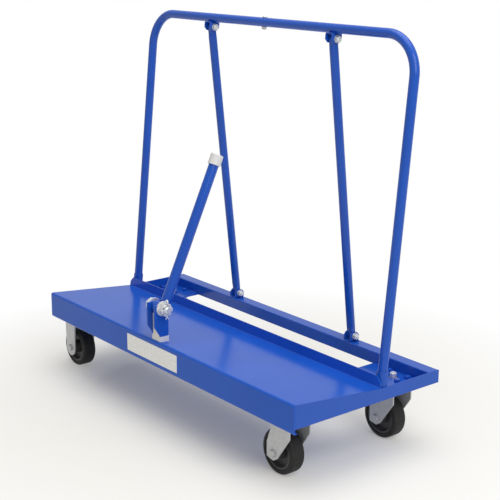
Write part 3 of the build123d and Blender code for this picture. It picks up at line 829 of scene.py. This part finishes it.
def hoop_half(node, side, line, sizes):
    """A leg, its bend and half of the top run, from the plate to the seam."""
    low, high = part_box(node)
    radius, bend = line.radius, sizes.hoop_bend
    leg_x, seam_x = (low.x + radius, high.x) if side < 0 else (high.x - radius, low.x)
    foot = line.foot(node, radius)
    foot.x = leg_x
    rise = (line.rail_z - foot.z) / math.cos(line.lean)
    inward = Vector((-side, 0, 0))
    # The leg starts a little below its foot, and is then cut level there
    bm = bmesh.new()
    edges = ring(bm, radius, along(line.up, foot - line.up * radius), sizes.tube_sides)
    edges = drawn_out(bm, edges, Matrix.Translation(line.up * (radius + rise - bend)))
    centre = foot + line.up * (rise - bend) + inward * bend
    edges = bent(bm, edges, centre, line.up.cross(inward), math.pi / 2, sizes.bend_steps)
    run = abs(seam_x - leg_x) - bend
    drawn_out(bm, edges, Matrix.Translation(inward * run))
    line.cut_foot(bm, foot)
    walled(bm, sizes.hoop_wall)
    return bm


def hoop_socket(node, line, sizes):
    """The short tube that a leg stands in."""
    middle, half = middle_and_half(node)
    radius = half.x
    foot = line.foot(node, radius)
    foot.x = middle.x
    top = middle.z + half.z - radius * math.sin(line.lean)
    rise = (top - foot.z) / math.cos(line.lean)
    bm = bmesh.new()
    edges = ring(bm, radius, along(line.up, foot - line.up * radius), sizes.tube_sides)
    drawn_out(bm, edges, Matrix.Translation(line.up * (radius + rise)))
    line.cut_foot(bm, foot)
    walled(bm, sizes.socket_wall)
    ease(bm, sizes.sheet_edge)
    return bm


class CART_OT_hoop(bpy.types.Operator):
    """Bend the two halves of the hoop, and make their sockets and the spigot."""

    bl_idname = "cart.hoop"
    bl_label = "Hoop"

    def execute(self, context):
        sizes = context.scene.cart_sizes
        line = HoopLine(sizes)
        for name, side in (("left", -1), ("right", 1)):
            node = f"hoop_{name}"
            stand_in(hoop_half(node, side, line, sizes), node, "blue")
            node = f"hoop_socket_{name}"
            stand_in(hoop_socket(node, line, sizes), node, "blue")
        dressed("hoop_splice", "zinc", sizes.fine_edge)
        return {"FINISHED"}


class CART_OT_braces(bpy.types.Operator):
    """Make the two rear braces and the brackets that they are bolted to."""

    bl_idname = "cart.braces"
    bl_label = "Braces and brackets"

    def execute(self, context):
        sizes = context.scene.cart_sizes
        for node in ("brace_left", "brace_right", "brace_top_brackets", "brace_foot_brackets"):
            dressed(node, "blue", sizes.sheet_edge)
        return {"FINISHED"}


class CART_OT_welds(bpy.types.Operator):
    """Lay the weld beads round the sockets, on the brackets and in the frame's corners."""

    bl_idname = "cart.welds"
    bl_label = "Weld beads"

    inset: length("Inset", "Distance from a bead's end to the end of its edge", 5.0 * mm)
    stitch: length("Stitch", "Length of the beads along the rail", 40.0 * mm)
    saddle: length("Saddle", "Depth of the hoop in the top of its brackets", 1.0 * mm)

    def execute(self, context):
        sizes = context.scene.cart_sizes
        line = HoopLine(sizes)
        bm = bmesh.new()
        self.round_sockets(bm, line, sizes)
        self.on_brackets(bm, line, sizes)
        self.along_rail(bm, sizes)
        place(bm, "weld_beads", "cart", "blue")
        return {"FINISHED"}

    def round_sockets(self, bm, line, sizes):
        """Beads round the feet of the hoop's sockets."""
        for name in ("left", "right"):
            node = f"hoop_socket_{name}"
            middle, half = middle_and_half(node)
            foot = line.foot(node, half.x)
            foot.x = middle.x
            round_bead(bm, foot, half.x + sizes.weld / 4, sizes)

    def on_brackets(self, bm, line, sizes):
        """Beads along both sides of each bracket, on the rail and under the hoop."""
        for low, high in piece_boxes("brace_foot_brackets"):
            for y in (low.y, high.y):
                start = (low.x + self.inset, y, low.z)
                straight_bead(bm, start, (high.x - self.inset, y, low.z), sizes)
        # The saddle meets the tube along a chord, this far below the tube's middle
        drop = line.radius - self.saddle
        for low, high in piece_boxes("brace_top_brackets"):
            reach = math.sqrt(line.radius**2 - drop**2) + sizes.weld / 2
            for side in (-1, 1):
                start = line.back * side * reach - line.up * (drop - sizes.weld / 3)
                start += Vector((low.x + self.inset, line.rail_y, line.rail_z))
                end = start.copy()
                end.x = high.x - self.inset
                straight_bead(bm, start, end, sizes)

    def along_rail(self, bm, sizes):
        """An upright bead at each end of the rail, and stitches on the caster plates."""
        rail_low, rail_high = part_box("rear_rail")
        for name in ("left", "right"):
            low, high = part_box(f"caster_plate_{name}")
            wall = low.x if name == "left" else high.x
            straight_bead(
                bm,
                (wall, rail_low.y, high.z + sizes.weld),
                (wall, rail_low.y, rail_high.z - sizes.weld),
                sizes,
            )
            for start in (low.x + self.inset * 2, high.x - self.inset * 2 - self.stitch):
                straight_bead(
                    bm,
                    (start, rail_low.y, high.z),
                    (start + self.stitch, rail_low.y, high.z),
                    sizes,
                )


class CART_OT_prop_arm(bpy.types.Operator):
    """Make the prop arm's tube, its barrel and its bracket."""

    bl_idname = "cart.prop_arm"
    bl_label = "Prop arm"

    def execute(self, context):
        sizes = context.scene.cart_sizes
        for node in ("arm_tube", "arm_barrel", "arm_bracket"):
            dressed(node, "blue", sizes.sheet_edge)
        return {"FINISHED"}


class CART_OT_nylon(bpy.types.Operator):
    """Mould the arm's cap and the block below its bracket."""

    bl_idname = "cart.nylon"
    bl_label = "Cap and block"

    def execute(self, context):
        sizes = context.scene.cart_sizes
        for node in ("arm_cap", "arm_block"):
            dressed(node, "nylon", sizes.plastic_edge, segments=3)
        return {"FINISHED"}


class CART_OT_forks(bpy.types.Operator):
    """Make the casters' forks, top plates and ball rings."""

    bl_idname = "cart.forks"
    bl_label = "Caster forks"

    def execute(self, context):
        sizes = context.scene.cart_sizes
        for node in (
            "rigid_fork_front",
            "rigid_fork_rear",
            "swivel_fork_front",
            "swivel_fork_rear",
            "swivel_plates",
            "swivel_races",
        ):
            dressed(node, "zinc", sizes.fork_edge)
        return {"FINISHED"}


wheels = ("rigid_front", "rigid_rear", "swivel_front", "swivel_rear")


def mirrored_outline(half):
    """An outline of (radius, height) corners, and the same below."""
    return list(half) + [(radius, -height) for radius, height in reversed(half)]


class CART_OT_tyres(bpy.types.Operator):
    """Turn the rubber tyres, with round shoulders, a bead lip and a moulding seam."""

    bl_idname = "cart.tyres"
    bl_label = "Tyres"

    depth: length("Depth", "Thickness of the rubber", 14.0 * mm)
    lip: length("Lip", "Height of the ring beside the wheel's rim", 0.8 * mm)
    lip_width: length("Lip width", "Width of that ring", 3.0 * mm)

    def execute(self, context):
        sizes = context.scene.cart_sizes
        for wheel in wheels:
            node = f"{wheel}_tyre"
            middle, half = middle_and_half(node)
            outer, width = half.x, half.y
            inner = outer - self.depth
            wall = width - self.lip
            seam = sizes.tyre_seam
            crown = outer - seam
            outline = (
                (inner, width - self.lip * 2),
                (inner + self.lip, width),
                (inner + self.lip_width, width),
                (inner + self.lip_width + self.lip, wall),
                (crown, wall),
                (crown, seam * 3),
                (outer, seam),
            )
            bm = bmesh.new()
            matrix = along(crosswise, middle)
            turned(bm, mirrored_outline(outline), sizes.wheel_sides, matrix)
            shoulders = []
            for edge in bm.edges:
                flat = [matrix.inverted() @ v.co for v in edge.verts]
                if all(
                    abs(p.xy.length - crown) < NEAR and abs(abs(p.z) - wall) < NEAR for p in flat
                ):
                    shoulders.append(edge)
            rounded(bm, shoulders, sizes.tyre_shoulder, segments=8)
            ease(bm, sizes.fine_edge, sharper=30.0)
            stand_in(bm, node, "rubber")
        return {"FINISHED"}


class CART_OT_wheels(bpy.types.Operator):
    """Turn the wheel centres, each a hub, a dished disc and a rim in one piece."""

    bl_idname = "cart.wheels"
    bl_label = "Wheel centres"

    hub: length("Hub", "Diameter of the hub", 38.0 * mm)
    bore: length("Bore", "Diameter of the bore", 20.12 * mm)
    disc: length("Disc", "Thickness of the disc", 12.0 * mm)
    rim: length("Rim", "Thickness of the rim", 6.0 * mm)
    rim_width: length("Rim width", "Width of the rim", 41.0 * mm)
    seat: length("Seat", "Depth of the ring round the bore", 1.0 * mm)

    def execute(self, context):
        sizes = context.scene.cart_sizes
        for wheel in wheels:
            node = f"{wheel}_wheel"
            middle, half = middle_and_half(node)
            outer, reach = half.z, half.y
            hub, bore, disc = self.hub / 2, self.bore / 2, self.disc / 2
            inner = outer - self.rim
            # The hub and the rim run out to the disc on a draft
            slant = (reach - disc) / 4
            outline = (
                (bore, reach - self.seat),
                (bore + self.seat * 2, reach - self.seat),
                (bore + self.seat * 4, reach),
                (hub, reach),
                (hub + slant / 2, disc),
                (inner - slant / 2, disc),
                (inner, self.rim_width / 2),
                (outer, self.rim_width / 2),
            )
            bm = bmesh.new()
            turned(bm, mirrored_outline(outline), sizes.wheel_sides, along(crosswise, middle))
            ease(bm, sizes.sheet_edge, segments=3, sharper=25.0)
            stand_in(bm, node, "centre")
        return {"FINISHED"}


def bolts(node, direction, radius, proud, sizes, look="bright"):
    """A node's bolts with round edges, and a thread wound on what shows past the nut."""
    bm = copy_of(node)
    ease(bm, sizes.fine_edge)
    for corners in apart(bm):
        threaded(bm, corners, direction, proud + sizes.thread, radius, sizes.thread)
    stand_in(bm, node, look)


def eased_fasteners(context, nodes, look="bright"):
    """Replace small fasteners by their own shapes with fine round edges."""
    for node in nodes:
        dressed(node, look, context.scene.cart_sizes.fine_edge)


class CART_OT_brace_fasteners(bpy.types.Operator):
    """Make the bolts, nuts and washers of the braces and of the hoop's seam."""

    bl_idname = "cart.brace_fasteners"
    bl_label = "Brace and seam fasteners"

    radius: length("Brace bolt", "Radius of the braces' bolts", 5.0 * mm)
    seam_radius: length("Seam bolt", "Radius of the bolt through the seam", 4.0 * mm)
    proud: length("Proud", "Length of the bolts past their nuts", 2.0 * mm)

    def execute(self, context):
        sizes = context.scene.cart_sizes
        down = -HoopLine(sizes).up
        bolts("brace_bolts", lengthwise, self.radius, self.proud, sizes)
        bolts("splice_bolt", down, self.seam_radius, self.proud, sizes, "zinc")
        eased_fasteners(context, ("brace_nuts",))
        eased_fasteners(context, ("brace_washers", "splice_nut"), "zinc")
        return {"FINISHED"}


class CART_OT_pivot(bpy.types.Operator):
    """Make the arm's pivot bolt, its slotted nut, split pin, washers and screws."""

    bl_idname = "cart.pivot"
    bl_label = "Pivot"

    radius: length("Pivot bolt", "Radius of the pivot bolt", 10.0 * mm)
    proud: length("Proud", "Length of the bolt past its nut", 6.0 * mm)

    def execute(self, context):
        sizes = context.scene.cart_sizes
        bolts("pivot_bolt", lengthwise, self.radius, self.proud, sizes)
        eased_fasteners(
            context,
            ("pivot_nut", "pivot_washers", "split_pin", "bracket_screws", "block_bolts"),
        )
        return {"FINISHED"}


class CART_OT_axles(bpy.types.Operator):
    """Make the wheels' axle bolts, nuts and sleeves."""

    bl_idname = "cart.axles"
    bl_label = "Axles"

    radius: length("Axle", "Radius of the axle bolts", 6.0 * mm)
    proud: length("Proud", "Length of the bolts past their nuts", 2.0 * mm)

    def execute(self, context):
        sizes = context.scene.cart_sizes
        for node in ("rigid_axles", "swivel_axle_front", "swivel_axle_rear"):
            bolts(node, crosswise, self.radius, self.proud, sizes, "zinc")
        eased_fasteners(
            context,
            (
                "rigid_axle_nuts",
                "rigid_axle_sleeves",
                "swivel_axle_nut_front",
                "swivel_axle_nut_rear",
                "swivel_axle_sleeve_front",
                "swivel_axle_sleeve_rear",
            ),
            "zinc",
        )
        return {"FINISHED"}


class CART_OT_caster_fasteners(bpy.types.Operator):
    """Make the casters' bolts and kingpins, and the nuts that are painted with their plates."""

    bl_idname = "cart.caster_fasteners"
    bl_label = "Caster fasteners"

    radius: length("Paint", "Radius of the paint over a bolt's end", 4.9 * mm)
    film: length("Film", "Thickness of that paint", 0.3 * mm)

    def execute(self, context):
        sizes = context.scene.cart_sizes
        eased_fasteners(context, ("caster_bolts", "kingpins"))
        bm = copy_of("caster_nuts")
        ease(bm, sizes.fine_edge)
        for low, high in piece_boxes("caster_nuts"):
            middle = (low + high) / 2
            middle.z = high.z
            bmesh.ops.create_cone(
                bm,
                cap_ends=True,
                segments=sizes.tube_sides // 2,
                radius1=self.radius,
                radius2=self.radius,
                depth=self.film * 2,
                matrix=Matrix.Translation(middle),
            )
        stand_in(bm, "caster_nuts", "blue")
        return {"FINISHED"}


class CART_OT_label(bpy.types.Operator):
    """Fix a blank label to the front of the deck."""

    bl_idname = "cart.label"
    bl_label = "Blank label"

    middle_x: length("Middle", "Middle of the label along the cart", -17.0 * mm)
    middle_z: length("Height", "Height of the label's middle", 208.0 * mm)

    def execute(self, context):
        sizes = context.scene.cart_sizes
        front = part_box("deck_panel")[0].y
        size = Vector((sizes.label_width, sizes.label_sheet, sizes.label_height))
        centre = (self.middle_x, front - size.y / 2, self.middle_z)
        bm = bmesh.new()
        matrix = Matrix.Translation(centre) @ Matrix.Diagonal((*size, 1))
        bmesh.ops.create_cube(bm, size=1, matrix=matrix)
        corners = [e for e in bm.edges if abs((e.verts[0].co - e.verts[1].co).y) > size.y / 2]
        rounded(bm, corners, sizes.label_corner, segments=4)
        ease(bm, size.y / 4, segments=1)
        place(bm, "blank_label", "cart", "label")
        return {"FINISHED"}


# Studio


def white_world(world, studio):
    """An even sky that shows white to the camera and in glass, and dimmer in gloss."""
    world.use_nodes = True
    world.node_tree.nodes.clear()
    sky = Nodes(world.node_tree)
    seen = sky.seen()
    glossy = sky.node("ShaderNodeLightPath", out="Is Glossy Ray")
    light = sky.between(seen, 0.0, 1.0, studio.sky, 1.0) - glossy * studio.gloss_loss
    colour = sky.tint(seen, solid(studio.sky_colour), solid((1, 1, 1)))
    back = sky.node("ShaderNodeBackground", None, {"Color": colour, "Strength": light})
    sky.node("ShaderNodeOutputWorld", None, {"Surface": back})


def floor_board(colours, studio):
    """A pale floor that fades to the white background away from the cart."""
    board = Finish("pale_floor")
    speck = board.cloud(9.0, 4.0)
    # The warm floor colour is painted against the blue bounce light from the cart, not the
    # floor's own colour
    base = board.tint(speck, solid(colours.floor, 0.99), solid(colours.floor))
    board.set(Base_Color=base, Roughness=0.9, Specular_IOR_Level=0.0)
    reach = board.node(
        "ShaderNodeVectorMath", {"operation": "DISTANCE"}, (board.place, (0, 0, 0)), out="Value"
    )
    far = board.between(reach, studio.floor_near, studio.floor_far, studio.floor_glow, 1.0)
    glow = board.node("ShaderNodeEmission", None, {"Color": solid((1, 1, 1)), "Strength": 1.0})
    plain = Wire(board, board.shader.outputs["BSDF"])
    mixed = board.node("ShaderNodeMixShader", None, (board.seen() * far, plain, glow))
    board.plug(board.tree.nodes["Material Output"].inputs["Surface"], mixed)
    return board.material


def lamp(name, power, size, where, target):
    """A square soft lamp that faces a point."""
    light = bpy.data.lights.new(name, "AREA")
    light.energy = power
    light.size = size
    holder = bpy.data.objects.new(name, light)
    bpy.context.scene.collection.objects.link(holder)
    where, target = Vector(where), Vector(target)
    turn = (target - where).to_track_quat("-Z", "Y")
    holder.matrix_world = Matrix.Translation(where) @ turn.to_matrix().to_4x4()


def photo_camera(scene, studio):
    """A camera that stands where the photograph's stood."""
    camera = bpy.data.cameras.new("photo_camera")
    camera.lens = studio.lens
    camera.shift_x = studio.shift_x
    camera.shift_y = studio.shift_y
    holder = bpy.data.objects.new("photo_camera", camera)
    scene.collection.objects.link(holder)
    level_ahead = Matrix.Rotation(math.pi / 2 - studio.pitch, 4, "X")
    turn = Matrix.Rotation(-studio.yaw, 4, "Z") @ level_ahead
    turn = turn @ Matrix.Rotation(studio.roll, 4, "Z")
    holder.matrix_world = Matrix.Translation(studio.place) @ turn
    scene.camera = holder


class CART_OT_studio(bpy.types.Operator):
    """Set up the floor, the light and the camera."""

    bl_idname = "cart.studio"
    bl_label = "Studio"

    floor_size: length("Floor", "Half of the floor's side", 9.0)

    def execute(self, context):
        scene = context.scene
        studio = scene.cart_studio
        bm = bmesh.new()
        bmesh.ops.create_grid(bm, x_segments=8, y_segments=8, size=self.floor_size)
        mesh = bpy.data.meshes.new("studio_floor")
        bm.to_mesh(mesh)
        bm.free()
        mesh.materials.append(floor_board(scene.cart_colours, studio))
        floor = bpy.data.objects.new("studio_floor", mesh)
        scene.collection.objects.link(floor)
        if scene.world is None:
            scene.world = bpy.data.worlds.new("studio_sky")
        white_world(scene.world, studio)
        middle = sum(cad_box, Vector()) / 2
        lamp("key_lamp", studio.key, studio.key_size, studio.key_place, middle)
        lamp("top_lamp", studio.top, studio.top_size, studio.top_place, middle)
        photo_camera(scene, studio)
        scene.view_settings.view_transform = "Standard"
        return {"FINISHED"}


steps = (
    CART_OT_studio,
    CART_OT_deck,
    CART_OT_underframe,
    CART_OT_hoop,
    CART_OT_braces,
    CART_OT_welds,
    CART_OT_prop_arm,
    CART_OT_nylon,
    CART_OT_forks,
    CART_OT_tyres,
    CART_OT_wheels,
    CART_OT_axles,
    CART_OT_caster_fasteners,
    CART_OT_brace_fasteners,
    CART_OT_pivot,
    CART_OT_label,
)


class CART_PT_pieces(bpy.types.Panel):
    """Lists the cart's pieces in the sidebar."""

    bl_idname = "CART_PT_pieces"
    bl_label = "Drywall cart"
    bl_space_type = "VIEW_3D"
    bl_region_type = "UI"
    bl_category = "Cart"

    def draw(self, context):
        for step in steps:
            self.layout.operator(step.bl_idname)


groups = {"cart_sizes": CartSizes, "cart_colours": CartColours, "cart_studio": CartStudio}


def register():
    for kind in (*groups.values(), *steps, CART_PT_pieces):
        bpy.utils.register_class(kind)
    for name, kind in groups.items():
        setattr(bpy.types.Scene, name, PointerProperty(type=kind))


def unregister():
    for name in groups:
        delattr(bpy.types.Scene, name)
    for kind in (CART_PT_pieces, *reversed(steps), *groups.values()):
        bpy.utils.unregister_class(kind)


def main():
    """Make the stage and every piece."""
    register()
    for step in steps:
        group, name = step.bl_idname.split(".")
        getattr(getattr(bpy.ops, group), name)()


if __name__ == "__main__":
    main()
